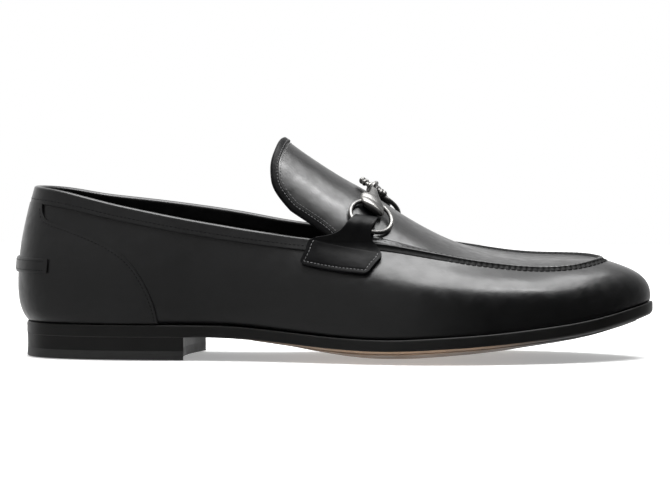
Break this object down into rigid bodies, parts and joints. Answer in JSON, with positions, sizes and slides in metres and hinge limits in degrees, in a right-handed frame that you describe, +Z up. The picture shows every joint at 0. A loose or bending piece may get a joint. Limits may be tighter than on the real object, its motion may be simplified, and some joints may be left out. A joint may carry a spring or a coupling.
{
  "type": "bit loafer",
  "caption": "Right-foot slip-on loafer in black leather: apron toe, tall tongue, snaffle bit held by two straps, heel counter, leather sole and low stacked heel.",
  "frame": {"origin": "Middle of the heel's floor face, on the floor.", "axes": "+X to the toe, +Y to the inner side of the foot, +Z up."},
  "size_m": [0.3007, 0.1, 0.1034],
  "materials": {
    "sole_leather": "inked and waxed edge, tan underside",
    "heel_leather": "inked stacked leather",
    "heel_rubber": "matte",
    "lining": "matte black lining",
    "black_calf": "smooth semi-gloss calf",
    "aged_silver": "aged silver plate"
  },
  "bodies": {
    "root": {"outsole": "sole_leather", "heel": "heel_leather", "heel_top_piece": "heel_rubber", "insole": "lining", "upper": "black_calf", "heel_counter": "black_calf", "heel_tab": "black_calf", "collar_binding": "black_calf", "tongue_binding": "black_calf", "strap_lateral": "black_calf", "strap_medial": "black_calf", "strap_patch_lateral": "black_calf", "strap_patch_medial": "black_calf", "ring_lateral": "aged_silver", "ring_medial": "aged_silver", "bit_bar_lateral": "aged_silver", "bit_bar_medial": "aged_silver", "bit_link": "aged_silver"}
  },
  "joints": []
}
